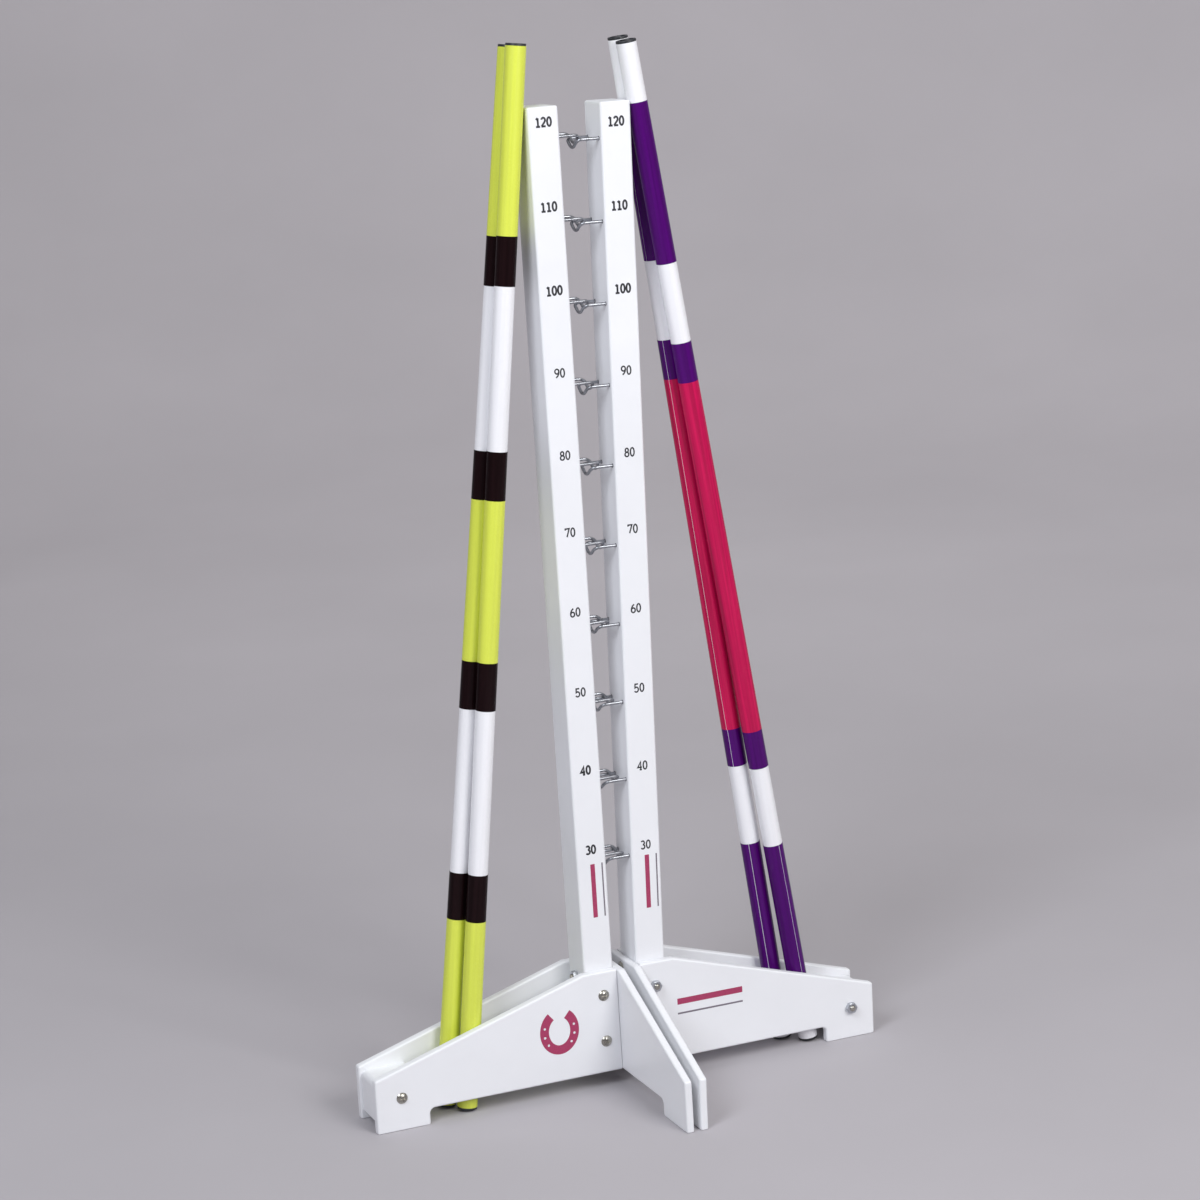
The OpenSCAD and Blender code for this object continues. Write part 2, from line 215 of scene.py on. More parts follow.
def srgb(red, green, blue):
    """Linear colour of an 8-bit screen colour."""

    def linear(value):
        share = value / FULL_LEVEL
        if share <= CURVE_KNEE:
            return share / CURVE_SLOPE
        return ((share + CURVE_LIFT) / (1 + CURVE_LIFT)) ** CURVE_POWER

    return (linear(red), linear(green), linear(blue), 1.0)


# Materials

def node_material(name):
    """A new material with its tree and its main shader."""
    material = bpy.data.materials.new(name)
    material.use_nodes = True
    return material, material.node_tree, material.node_tree.nodes["Principled BSDF"]


def noise(tree, scale, detail=4.0, roughness=0.55, stretch=(1.0, 1.0, 1.0), lean=0.0):
    """A noise pattern in metres, stretched along the axes of a piece that leans to the right."""
    coords = tree.nodes.new("ShaderNodeTexCoord")
    upright = tree.nodes.new("ShaderNodeMapping")
    upright.inputs["Rotation"].default_value = (0.0, -lean, 0.0)
    mapping = tree.nodes.new("ShaderNodeMapping")
    mapping.inputs["Scale"].default_value = stretch
    pattern = tree.nodes.new("ShaderNodeTexNoise")
    pattern.inputs["Scale"].default_value = scale
    pattern.inputs["Detail"].default_value = detail
    pattern.inputs["Roughness"].default_value = roughness
    tree.links.new(coords.outputs["Object"], upright.inputs["Vector"])
    tree.links.new(upright.outputs["Vector"], mapping.inputs["Vector"])
    tree.links.new(mapping.outputs["Vector"], pattern.inputs["Vector"])
    return pattern.outputs["Fac"]


def ramp(tree, source, stops):
    """A colour ramp over a pattern: stops are (place, colour)."""
    node = tree.nodes.new("ShaderNodeValToRGB")
    elements = node.color_ramp.elements
    for element, (place, colour) in zip(elements, stops):
        element.position = place
        element.color = colour
    for place, colour in stops[len(elements):]:
        elements.new(place).color = colour
    tree.links.new(source, node.inputs["Fac"])
    return node.outputs["Color"]


def spread(tree, source, low, high):
    """A pattern's values, spread between two numbers."""
    node = tree.nodes.new("ShaderNodeMapRange")
    node.inputs["From Min"].default_value = NOISE_LOW
    node.inputs["From Max"].default_value = NOISE_HIGH
    node.inputs["To Min"].default_value = low
    node.inputs["To Max"].default_value = high
    tree.links.new(source, node.inputs["Value"])
    return node.outputs["Result"]


def bump(tree, shader, patterns):
    """Stacks patterns as relief on the shader: each is (pattern, height in metres, strength)."""
    below = None
    for pattern, height, strength in patterns:
        node = tree.nodes.new("ShaderNodeBump")
        node.inputs["Distance"].default_value = height
        node.inputs["Strength"].default_value = strength
        tree.links.new(pattern, node.inputs["Height"])
        if below:
            tree.links.new(below, node.inputs["Normal"])
        below = node.outputs["Normal"]
    tree.links.new(below, shader.inputs["Normal"])


def tinted(colour, share):
    """A colour made lighter or darker by a share."""
    return tuple(min(1.0, part * share) for part in colour[:3]) + (1.0,)


def painted_wood(name, grain):
    """Satin white paint on planed wood, with a faint grain along the piece and a brushed film."""
    material, tree, shader = node_material(name)
    white = srgb(240, 241, 244)
    long_share, cross_share = 0.06, 1.0
    stretch = tuple(long_share if axis == grain else cross_share for axis in "XYZ")
    grain_lines = noise(tree, scale=420.0, detail=3.0, roughness=0.6, stretch=stretch)
    cloud = noise(tree, scale=9.0, detail=5.0)
    film = noise(tree, scale=900.0, detail=2.0)
    stops = [(0.25, tinted(white, 0.955)), (0.7, white)]
    tree.links.new(ramp(tree, cloud, stops), shader.inputs["Base Color"])
    tree.links.new(spread(tree, cloud, low=0.34, high=0.46), shader.inputs["Roughness"])
    bump(tree, shader, [(grain_lines, 0.00012, 0.16), (film, 0.00005, 0.12)])
    shader.inputs["IOR"].default_value = 1.48
    return material


def zinc_plate(name, dark, light, roughness):
    """Zinc plated steel, a little cloudy, with shallow dents."""
    material, tree, shader = node_material(name)
    cloud = noise(tree, scale=160.0)
    dents = noise(tree, scale=240.0, detail=2.0, roughness=0.5, stretch=(0.3, 1.0, 1.0))
    stops = [(NOISE_LOW, dark), (NOISE_HIGH, light)]
    tree.links.new(ramp(tree, cloud, stops), shader.inputs["Base Color"])
    tree.links.new(spread(tree, cloud, roughness, roughness + 0.06), shader.inputs["Roughness"])
    bump(tree, shader, [(dents, 0.00004, 0.05)])
    shader.inputs["Metallic"].default_value = 1.0
    return material


def pole_lean(colour):
    """Mean lean to the right of the two poles of one colour."""
    axes = [joint["axis"] for joint in frame["joints"] if joint["child"].startswith(colour)]
    return sum(math.atan2(axis[0], axis[2]) for axis in axes) / len(axes)


def gloss_film(name, colour, roughness, shine, lean, painted_reflection_share):
    """Smooth coloured film or plastic, with painted reflection streaks along the pole, a little scuffed."""
    material, tree, shader = node_material(name)
    # Lighter and darker streaks along the pole in the base colour: painted reflection
    painted_reflection_streaks = noise(tree, scale=210.0, detail=3.0, roughness=0.5, stretch=(1.0, 1.0, 0.02), lean=lean)
    ripple = noise(tree, scale=120.0, detail=2.0, roughness=0.5, stretch=(1.0, 1.0, 0.25), lean=lean)
    specks = noise(tree, scale=1400.0, detail=2.0)
    stops = [(0.36, tinted(colour, 1 - painted_reflection_share)), (0.64, tinted(colour, 1 + painted_reflection_share / 2))]
    tree.links.new(ramp(tree, painted_reflection_streaks, stops), shader.inputs["Base Color"])
    tree.links.new(spread(tree, specks, roughness, roughness + 0.08), shader.inputs["Roughness"])
    bump(tree, shader, [(ripple, 0.00010, 0.08), (specks, 0.00002, 0.06)])
    shader.inputs["Specular IOR Level"].default_value = shine
    return material


def moulded_plastic(name, colour):
    """Black moulded plastic with a fine spark-eroded texture."""
    material, tree, shader = node_material(name)
    texture = noise(tree, scale=2200.0, detail=3.0)
    cloud = noise(tree, scale=120.0, detail=3.0)
    stops = [(NOISE_LOW, tinted(colour, 0.85)), (NOISE_HIGH, tinted(colour, 1.3))]
    tree.links.new(ramp(tree, cloud, stops), shader.inputs["Base Color"])
    tree.links.new(spread(tree, cloud, low=0.32, high=0.46), shader.inputs["Roughness"])
    bump(tree, shader, [(texture, 0.00003, 0.3)])
    return material


def printed_ink(name, colour):
    """Printed ink, slightly uneven in tone; also the dark painted shade round the hooks' holes."""
    material, tree, shader = node_material(name)
    blot = noise(tree, scale=700.0, detail=3.0)
    stops = [(NOISE_LOW, tinted(colour, 0.85)), (0.75, tinted(colour, 1.2))]
    tree.links.new(ramp(tree, blot, stops), shader.inputs["Base Color"])
    tree.links.new(spread(tree, blot, low=0.42, high=0.55), shader.inputs["Roughness"])
    bump(tree, shader, [(blot, 0.00002, 0.2)])
    return material


WOOD = {axis: painted_wood(f"painted_wood_{axis.lower()}", axis) for axis in "XYZ"}
ZINC_WIRE = zinc_plate("zinc_wire", srgb(138, 140, 145), srgb(178, 180, 185), roughness=0.27)
ZINC_BOLT = zinc_plate("zinc_bolt", srgb(152, 149, 141), srgb(188, 185, 176), roughness=0.26)
ZINC_NUT = zinc_plate("zinc_nut", srgb(176, 180, 186), srgb(212, 215, 220), roughness=0.30)
LEANS = {colour: pole_lean(colour) for colour in ("lime", "purple")}
# Each film's streak share sets how strong its painted reflection streaks are
WHITE_TUBES = {
    colour: gloss_film(
        f"{colour}_pole_white", srgb(243, 243, 246), roughness=0.22, shine=0.4, lean=lean, painted_reflection_share=0.03,
    )
    for colour, lean in LEANS.items()
}
CAP_BLACK = moulded_plastic("cap_black", srgb(42, 44, 48))
TAPES = {
    "lime_tape": gloss_film(
        "lime_film", srgb(220, 230, 84), roughness=0.22, shine=0.55, lean=LEANS["lime"], painted_reflection_share=0.06,
    ),
    "black_tape": gloss_film(
        "black_film", srgb(26, 13, 15), roughness=0.14, shine=0.08, lean=LEANS["lime"], painted_reflection_share=0.25,
    ),
    "purple_tape": gloss_film(
        "purple_film", srgb(77, 7, 106), roughness=0.14, shine=0.18, lean=LEANS["purple"], painted_reflection_share=0.20,
    ),
    "red_tape": gloss_film(
        "red_film", srgb(198, 22, 82), roughness=0.14, shine=0.2, lean=LEANS["purple"], painted_reflection_share=0.24,
    ),
}
# Dark colour of the rings that paint the shade in the holes round the prongs
PAINTED_HOLE_SHADE = printed_ink("drilled_rim", srgb(84, 80, 80))
NUMBER_INK = printed_ink("number_ink", srgb(34, 34, 40))
BERRY_INK = printed_ink("berry_ink", srgb(168, 56, 95))
GREY_INK = printed_ink("grey_ink", srgb(120, 112, 122))
WHITE_INK = printed_ink("white_ink", srgb(226, 227, 230))


# Pieces

def place_piece(name, bm, body, material, nodes=()):
    """Turns a mesh into a piece that rides on a body, smooth except at its corners."""
    bmesh.ops.recalc_face_normals(bm, faces=bm.faces)
    mesh = bpy.data.meshes.new(name)
    bm.to_mesh(mesh)
    bm.free()
    mesh.shade_smooth()
    mesh.set_sharp_from_angle(angle=SHARP_ANGLE)
    mesh.materials.append(material)
    piece = bpy.data.objects.new(name, mesh)
    bpy.context.collection.objects.link(piece)
    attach(piece, body)
    if nodes:
        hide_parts(*nodes)
    return piece


def even_faces(piece):
    """Lets the large flat faces of a rounded piece set its normals, so that they shade flat."""
    weighted = piece.modifiers.new("even_faces", "WEIGHTED_NORMAL")
    weighted.keep_sharp = True


def node_mesh(node):
    """A node's mesh with its doubled corners joined."""
    bm = bmesh.new()
    bm.from_mesh(frame["nodes"][node].data)
    bmesh.ops.remove_doubles(bm, verts=bm.verts, dist=SAME_CORNER)
    return bm


def extents(points):
    """Lowest and highest corner of the box round some points."""
    low = Vector([min(point[k] for point in points) for k in range(3)])
    high = Vector([max(point[k] for point in points) for k in range(3)])
    return low, high


def off_axis(offset, ahead):
    """The part of an offset that is square to an axis."""
    return offset - ahead * offset.dot(ahead)


def join_rings(bm, rings, closed=False):
    """Faces from each ring of points to the next, and from the last to the first if they close up."""
    following = rings[1:] + rings[:1] if closed else rings[1:]
    for here, after in zip(rings, following):
        for j in range(len(here)):
            bm.faces.new((here[j - 1], here[j], after[j], after[j - 1]))


def wing_pivot(side):
    """Foot of the post's inner face, where the cross board lies against it."""
    low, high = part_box(f"{side}_cross_board")
    thick = CROSS_T * math.cos(POST_LEAN)
    return Vector((high.x - thick if side == "left" else low.x + thick, 0, 0))


def lean_matrix(side):
    """From a wing's upright frame to where it leans, about the foot of the post's inner face."""
    pivot = wing_pivot(side)
    turn = -POST_LEAN if side == "left" else POST_LEAN
    return Matrix.Translation(pivot) @ Matrix.Rotation(turn, 4, "Y") @ Matrix.Translation(-pivot)


def face_outline(bm, axis):
    """Corners of the largest flat face across an axis, in order, without its bores."""
    level = min(vert.co[axis] for vert in bm.verts)
    flat = [f for f in bm.faces if all(abs(v.co[axis] - level) < SAME_FACE for v in f.verts)]
    inside = set(flat)
    rim = [e for f in flat for e in f.edges if sum(g in inside for g in e.link_faces) == 1]
    loops = []
    left = set(rim)
    while left:
        edge = left.pop()
        start, here = edge.verts
        loop = [start, here]
        while here is not start:
            edge = next(e for e in here.link_edges if e in left)
            left.discard(edge)
            here = edge.other_vert(here)
            loop.append(here)
        loops.append([vert.co.copy() for vert in loop[:-1]])
    return max(loops, key=lambda loop: sum((a - b).length for a, b in zip(loop, loop[1:])))


def straightened(loop):
    """An outline without the points that lie on a straight stretch."""
    kept = []
    for k, here in enumerate(loop):
        before, after = here - loop[k - 1], loop[(k + 1) % len(loop)] - here
        if before.angle(after, 0) > STRAIGHT_ANGLE:
            kept.append(here)
    return kept


def round_edges(bm, edges, radius, steps=EDGE_STEPS):
    """Rounds some edges of a mesh."""
    bmesh.ops.bevel(
        bm, geom=edges, offset=radius, offset_type="OFFSET", segments=steps, profile=ROUND_PROFILE,
        affect="EDGES", clamp_overlap=True,
    )


def corner_edges(bm):
    """Edges that turn by more than a rounding's own facets do."""
    return [e for e in bm.edges if len(e.link_faces) == 2 and e.calc_face_angle(0) > CORNER_ANGLE]


def off_joint(point, joint_x):
    """A point, moved off the joint with the cross board by the width of a fine gap if it lies there."""
    if abs(point.x - joint_x) > BUTT_NEAR:
        return point
    return point + Vector((math.copysign(JOINT_GAP, joint_x), 0, 0))


def board(node, body, axis, grain, lean=None, butts=None, joint_x=None):
    """A board on the outline of its node across an axis: open edges rounded, the others just broken."""

    def on_floor(edge):
        return all(vert.co.z < FACE_NEAR for vert in edge.verts)

    def on_butt(edge):
        return bool(butts) and all(butts(vert.co) for vert in edge.verts)

    source = node_mesh(node)
    if lean:
        source.transform(lean.inverted())
    levels = [vert.co[axis] for vert in source.verts]
    across = Vector((0, 0, 0))
    across[axis] = max(levels) - min(levels)
    outline = straightened(face_outline(source, axis))
    if joint_x is not None:
        outline = [off_joint(point, joint_x) for point in outline]
    source.free()
    bm = bmesh.new()
    near = [bm.verts.new(point) for point in outline]
    far = [bm.verts.new(point + across) for point in outline]
    bm.faces.new(near)
    bm.faces.new(far[::-1])
    join_rings(bm, [near, far])
    bmesh.ops.recalc_face_normals(bm, faces=bm.faces)
    round_edges(bm, [e for e in corner_edges(bm) if not on_butt(e) and not on_floor(e)], EDGE_R)
    joint = [e for e in corner_edges(bm) if on_butt(e) and not on_floor(e)]
    if joint:
        round_edges(bm, joint, BUTT_R, BUTT_STEPS)
    ground = [e for e in corner_edges(bm) if on_floor(e)]
    if ground:
        round_edges(bm, ground, FLOOR_R, BUTT_STEPS)
    if lean:
        bm.transform(lean)
    even_faces(place_piece(f"{node}_painted", bm, body, WOOD[grain], [node]))


def post(side):
    """The post, with its long edges and its top rounded."""
    node = f"{side}_post"
    lean = lean_matrix(side)
    source = node_mesh(node)
    source.transform(lean.inverted())
    low, high = extents([vert.co for vert in source.verts])
    source.free()
    bm = bmesh.new()
    size = high - low
    block = Matrix.Translation((low + high) / 2) @ Matrix.Diagonal((*size, 1))
    bmesh.ops.create_cube(bm, size=1.0, matrix=block)
    bottom = [e for e in bm.edges if all(v.co.z < low.z + size.z / 2 for v in e.verts)]
    round_edges(bm, [e for e in bm.edges if e not in bottom], POST_R)
    bm.transform(lean)
    even_faces(place_piece(f"{node}_painted", bm, f"{side}_wing", WOOD["Z"], [node]))


def tube_along(bm, path, radius, sides):
    """A closed round tube along a path of points."""
    rings = []
    normal = None
    turns = [2 * math.pi * j / sides for j in range(sides)]
    for k, here in enumerate(path):
        ahead = (path[min(k + 1, len(path) - 1)] - path[max(k - 1, 0)]).normalized()
        if normal is None:
            normal = ahead.orthogonal().normalized()
        normal = off_axis(normal, ahead).normalized()
        other = ahead.cross(normal)
        rings.append([
            bm.verts.new(here + radius * (normal * math.cos(turn) + other * math.sin(turn))) for turn in turns
        ])
    join_rings(bm, rings)
    bm.faces.new(rings[0][::-1])
    bm.faces.new(rings[-1])


def hook_path(prong_y):
    """Centre line of a hook, out along one prong, down through the cradle and back along the other prong."""
    rise = HOOK_DIP - VALLEY_R
    arm = math.atan2(rise, prong_y) + math.asin(VALLEY_R / math.hypot(prong_y, rise))
    half = [Vector((-HOOK_EMBED, prong_y, 0))]
    for k in range(BEND_STEPS + 1):
        turn = math.pi / 2 * k / BEND_STEPS
        fall = BEND_R * (1 - math.cos(turn))
        half.append(Vector((
            HOOK_REACH - BEND_R * (1 - math.sin(turn)),
            prong_y - fall * math.cos(arm),
            -fall * math.sin(arm),
        )))
    valley = []
    for k in range(2 * BEND_STEPS + 1):
        turn = arm * (1 - k / BEND_STEPS)
        valley.append(Vector((HOOK_REACH, VALLEY_R * math.sin(turn), -rise - VALLEY_R * math.cos(turn))))
    back = [Vector((point.x, -point.y, point.z)) for point in reversed(half)]
    return half + valley + back


def hook_matrix(side, low, high):
    """From a hook's own frame, out along its prongs from the post's face, to its place on the wing."""
    turn = Matrix.Rotation(0 if side == "left" else math.pi, 4, "Z")
    tilt = Matrix.Rotation(-POST_LEAN, 4, "Y")
    reach = HOOK_REACH + WIRE_R
    tip = high.x if side == "left" else -low.x
    level = low.z + HOOK_DIP + WIRE_R
    base = Vector((tip - reach * math.cos(POST_LEAN), 0, level - reach * math.sin(POST_LEAN)))
    return turn @ Matrix.Translation(base) @ tilt


def drilled_rim(bm, prong_y):
    """A thin dark ring of painted shade round a prong, where it goes into the post's face."""
    rings = []
    for j in range(WIRE_SIDES):
        turn = 2 * math.pi * j / WIRE_SIDES
        around = Vector((0, math.cos(turn), math.sin(turn)))
        rings.append([
            bm.verts.new(Vector((up, prong_y, 0)) + around * radius)
            for up, radius in (
                (0, WIRE_R), (HOLE_SHADE_T, WIRE_R), (HOLE_SHADE_T, WIRE_R + HOLE_SHADE_WIDTH), (0, WIRE_R + HOLE_SHADE_WIDTH),
            )
        ])
    join_rings(bm, rings, closed=True)


def hook(side, k):
    """One bent wire hook on the wing's post, and the dark rings of painted shade round its two holes."""
    node = f"{side}_hook_{k}"
    low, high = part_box(node)
    prong_y = (high.y - low.y) / 2 - WIRE_R
    matrix = hook_matrix(side, low, high)
    wire = bmesh.new()
    tube_along(wire, hook_path(prong_y), WIRE_R, WIRE_SIDES)
    wire.transform(matrix)
    place_piece(f"{node}_wire", wire, f"{side}_wing", ZINC_WIRE, [node])
    # Dark rings that paint the shade round the two prong holes
    shade_rings = bmesh.new()
    for sign in (-1, 1):
        drilled_rim(shade_rings, sign * prong_y)
    shade_rings.transform(matrix)
    place_piece(f"{node}_rims", shade_rings, f"{side}_wing", PAINTED_HOLE_SHADE)


def islands(bm):
    """The separate solids of a mesh, each as a list of points."""
    left = set(bm.verts)
    groups = []
    while left:
        group = [left.pop()]
        for vert in group:
            near = {edge.other_vert(vert) for edge in vert.link_edges} & left
            left -= near
            group.extend(near)
        groups.append([vert.co.copy() for vert in group])
    return groups


class Axis:
    """A start, a direction ahead and two directions across it."""

    def point(self, along, radius, turn):
        """The point so far along the axis and out from it by a radius, at a turn about it."""
        return self.start + self.ahead * along + radius * (
            self.side * math.cos(turn) + self.other * math.sin(turn)
        )


class Spindle(Axis):
    """The axis of one fastener, from the face of its head or nut along its shank."""

    def __init__(self, points, ahead):
        self.ahead = ahead
        self.side = Vector((0, 0, 1))
        self.other = ahead.cross(self.side)
        low, high = extents(points)
        middle = (low + high) / 2
        along = [(point - middle).dot(ahead) for point in points]
        self.start = middle + ahead * min(along)
        self.length = max(along) - min(along)
        offsets = [off_axis(point - middle, ahead) for point in points]
        farthest = max(offsets, key=lambda offset: offset.length)
        self.radius = farthest.length
        self.turn = math.atan2(farthest.dot(self.other), farthest.dot(self.side))


def carved(bm, cutter):
    """A mesh with another cut out of it."""
    pieces = []
    for name, mesh_data in (("blank", bm), ("cutter", cutter)):
        bmesh.ops.recalc_face_normals(mesh_data, faces=mesh_data.faces)
        mesh = bpy.data.meshes.new(name)
        mesh_data.to_mesh(mesh)
        mesh_data.free()
        pieces.append(bpy.data.objects.new(name, mesh))
        bpy.context.collection.objects.link(pieces[-1])
    cut = pieces[0].modifiers.new("cut", "BOOLEAN")
    cut.operation = "DIFFERENCE"
    cut.solver = "EXACT"
    cut.object = pieces[1]
    evaluated = pieces[0].evaluated_get(bpy.context.evaluated_depsgraph_get())
    result = bmesh.new()
    result.from_mesh(evaluated.to_mesh())
    evaluated.to_mesh_clear()
    for piece in pieces:
        mesh = piece.data
        bpy.data.objects.remove(piece)
        bpy.data.meshes.remove(mesh)
    return result


def cross_cutter(spindle):
    """A cross-shaped block, sunk into the face of a bolt's head by the depth of its recess."""
    far, near = RECESS_LENGTH / 2, RECESS_WIDTH / 2
    arm = [(far, -near), (far, near), (near, near)]
    outline = []
    for quarter in range(4):
        turn = Matrix.Rotation(math.pi / 2 * quarter, 2)
        outline += [turn @ Vector(corner) for corner in arm]
    cutter = bmesh.new()
    rings = []
    for along in (-RECESS_DEPTH, RECESS_DEPTH):
        base = spindle.start + spindle.ahead * along
        rings.append([cutter.verts.new(base + spindle.side * x + spindle.other * y) for x, y in outline])
    cutter.faces.new(rings[0])
    cutter.faces.new(rings[1][::-1])
    join_rings(cutter, rings)
    return cutter


def bolt(spindle):
    """A bolt with a domed head, a cross recess and a threaded tail with a rounded end."""
    dome_h = HEAD_H - HEAD_RIM
    dome_r = (spindle.radius ** 2 + dome_h ** 2) / (2 * dome_h)
    half = math.asin(spindle.radius / dome_r)
    profile = []
    for k in range(1, DOME_STEPS + 1):
        turn = half * k / DOME_STEPS
        profile.append((dome_r * (1 - math.cos(turn)), dome_r * math.sin(turn)))
    profile.append((HEAD_H, spindle.radius))
    profile.append((HEAD_H, BOLT_R))
    turns = int(THREAD_LENGTH / THREAD_PITCH)
    first = spindle.length - TAIL_ROUND - turns * THREAD_PITCH
    for k in range(turns):
        here = first + k * THREAD_PITCH
        profile.append((here, BOLT_R))
        profile.append((here + THREAD_PITCH / 2, BOLT_R - THREAD_DEPTH))
    profile.append((spindle.length - TAIL_ROUND, BOLT_R - THREAD_DEPTH))
    for k in range(1, DOME_STEPS):
        turn = math.pi / 2 * k / DOME_STEPS
        profile.append((
            spindle.length - TAIL_ROUND * (1 - math.sin(turn)), (BOLT_R - THREAD_DEPTH) * math.cos(turn)
        ))
    bm = bmesh.new()
    tip = bm.verts.new(spindle.point(0, 0, 0))
    tail = bm.verts.new(spindle.point(spindle.length, 0, 0))
    rings = []
    around = [2 * math.pi * j / TURN_SIDES for j in range(TURN_SIDES)]
    for along, radius in profile:
        rings.append([bm.verts.new(spindle.point(along, radius, turn)) for turn in around])
    for j in range(TURN_SIDES):
        bm.faces.new((tip, rings[0][j - 1], rings[0][j]))
        bm.faces.new((tail, rings[-1][j], rings[-1][j - 1]))
        for before, after in zip(rings, rings[1:]):
            bm.faces.new((before[j - 1], before[j], after[j], after[j - 1]))
    return carved(bm, cross_cutter(spindle))


def nut(spindle):
    """A hexagon nut with its corners chamfered on both faces and its bore clear of the thread."""
    flat_r = spindle.radius * math.cos(HALF_FLAT)
    face_r = flat_r * NUT_FACE_SHARE
    bm = bmesh.new()
    rings = []
    for j in range(TURN_SIDES):
        turn = 2 * math.pi * j / TURN_SIDES
        corner = (turn + HALF_FLAT) % (2 * HALF_FLAT) - HALF_FLAT
        side_r = flat_r / math.cos(HALF_FLAT - abs(corner))
        drop = (side_r - face_r) * CHAMFER_SLOPE
        profile = [
            (0, BOLT_R), (0, face_r), (drop, side_r),
            (spindle.length - drop, side_r), (spindle.length, face_r), (spindle.length, BOLT_R),
        ]
        rings.append([bm.verts.new(spindle.point(along, r, spindle.turn + turn)) for along, r in profile])
    join_rings(bm, rings, closed=True)
    return bm


def fasteners(node, body, ahead, make, material, lean):
    """All the bolts, or all the nuts, of one node."""
    source = node_mesh(node)
    source.transform(lean.inverted())
    merged = bmesh.new()
    for points in islands(source):
        part = make(Spindle(points, ahead))
        mesh = bpy.data.meshes.new("part")
        part.to_mesh(mesh)
        part.free()
        merged.from_mesh(mesh)
        bpy.data.meshes.remove(mesh)
    source.free()
    merged.transform(lean)
    place_piece(f"{node}_plated", merged, body, material, [node])


def build_wing(side):
    """One wing: its post, foot, hooks and fasteners."""
    wing = f"{side}_wing"
    lean = lean_matrix(side)
    joint_x = wing_pivot(side).x
    block_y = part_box(f"{side}_end_block")[1].y

    def at_joint(point):
        return abs(point.x - joint_x) < BUTT_NEAR

    def at_boards(point):
        return abs(abs(point.y) - block_y) < FACE_NEAR

    post(side)
    for name in ("front_board", "back_board"):
        board(f"{side}_{name}", wing, 1, "X", butts=at_joint, joint_x=joint_x)
    board(f"{side}_end_block", wing, 1, "Y", butts=at_boards)
    board(f"{side}_cross_board", wing, 0, "Y", lean=lean)
    for k in range(1, HOOKS_PER_WING + 1):
        hook(side, k)
    sign = 1 if side == "left" else -1
    for group, ahead, turn in (
        ("frame", Vector((0, sign, 0)), Matrix()), ("cross", Vector((-sign, 0, 0)), lean),
    ):
        fasteners(f"{side}_{group}_bolts", wing, ahead, bolt, ZINC_BOLT, turn)
        fasteners(f"{side}_{group}_nuts", wing, ahead, nut, ZINC_NUT, turn)


# Poles

class PoleFrame(Axis):
    """A pole's axis, taken from its tube and its joint."""

    def __init__(self, pole):
        joint = next(j for j in frame["joints"] if j["child"] == pole)
        self.ahead = Vector(joint["axis"]).normalized()
        points = [v.co for v in frame["nodes"][f"{pole}_tube"].data.vertices]
        low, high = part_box(f"{pole}_tube")
        middle = (Vector(low) + Vector(high)) / 2
        along = [(p - middle).dot(self.ahead) for p in points]
        self.start = middle + self.ahead * min(along)
        self.length = max(along) - min(along)
        offsets = [off_axis(p - middle, self.ahead) for p in points]
        self.radius = max(offset.length for offset in offsets)
        self.bore = min(offset.length for offset in offsets)
        self.side = off_axis(Vector((0, -1, 0)), self.ahead).normalized()
        self.other = self.ahead.cross(self.side)

    def spans(self, node):
        """Where the sleeves of a node begin and end along the axis."""
        along = sorted((v.co - self.start).dot(self.ahead) for v in frame["nodes"][node].data.vertices)
        ends = [along[0]]
        for value in along:
            if value - ends[-1] > SAME_END:
                ends.append(value)
        return list(zip(ends[::2], ends[1::2]))


def turned(bm, pole, profile, first=0.0, last=2 * math.pi, sides=POLE_SIDES):
    """A closed profile of (along, radius) points, turned about a pole's axis, open or all the way round."""
    whole = last - first > 2 * math.pi - SAME_TURN
    count = sides if whole else sides + 1
    rings = []
    for k in range(count):
        turn = first + (last - first) * k / sides
        rings.append([bm.verts.new(pole.point(along, radius, turn)) for along, radius in profile])
    join_rings(bm, rings, closed=whole)
    if not whole:
        bm.faces.new(rings[0])
        bm.faces.new(rings[-1][::-1])


def tape(pole_name, pole, colour):
    """The bands of one tape colour: thin sleeves whose long edges almost meet at a seam."""
    node = f"{pole_name}_{colour}"
    bm = bmesh.new()
    points = [v.co - pole.start for v in frame["nodes"][node].data.vertices]
    radii = [off_axis(p, pole.ahead).length for p in points]
    inner = min(radii)
    outer = max(radii)
    gap = SEAM_WIDTH / outer / 2
    seams = SEAMS.get((pole_name, colour))
    for k, (low, high) in enumerate(pole.spans(node)):
        profile = [
            (low, inner), (low, outer - TAPE_CHAMFER), (low + TAPE_CHAMFER, outer),
            (high - TAPE_CHAMFER, outer), (high, outer - TAPE_CHAMFER), (high, inner),
        ]
        seam = math.radians(seams[k] if seams else SEAM_BEHIND)
        turned(bm, pole, profile, seam + gap, seam + 2 * math.pi - gap)
    place_piece(f"{node}_film", bm, pole_name, TAPES[colour], [node])


def tube(pole_name, pole):
    """The white tube of one pole, with its end edges broken."""
    bm = bmesh.new()
    edge = TAPE_CHAMFER
    profile = [
        (0, pole.bore), (0, pole.radius - edge), (edge, pole.radius),
        (pole.length - edge, pole.radius), (pole.length, pole.radius - edge), (pole.length, pole.bore),
    ]
    turned(bm, pole, profile)
    node = f"{pole_name}_tube"
    white = WHITE_TUBES[pole_name.split("_")[0]]
    place_piece(f"{node}_white", bm, pole_name, white, [node])


def rounded_corner(along, radius, along_sign):
    """Quarter round of an outer cap corner that ends on the flat face at a height."""
    points = []
    for k in range(CAP_STEPS + 1):
        turn = math.pi / 2 * k / CAP_STEPS
        points.append((
            along - along_sign * CAP_ROUND * (1 - math.sin(turn)),
            radius - CAP_ROUND * (1 - math.cos(turn)),
        ))
    return points


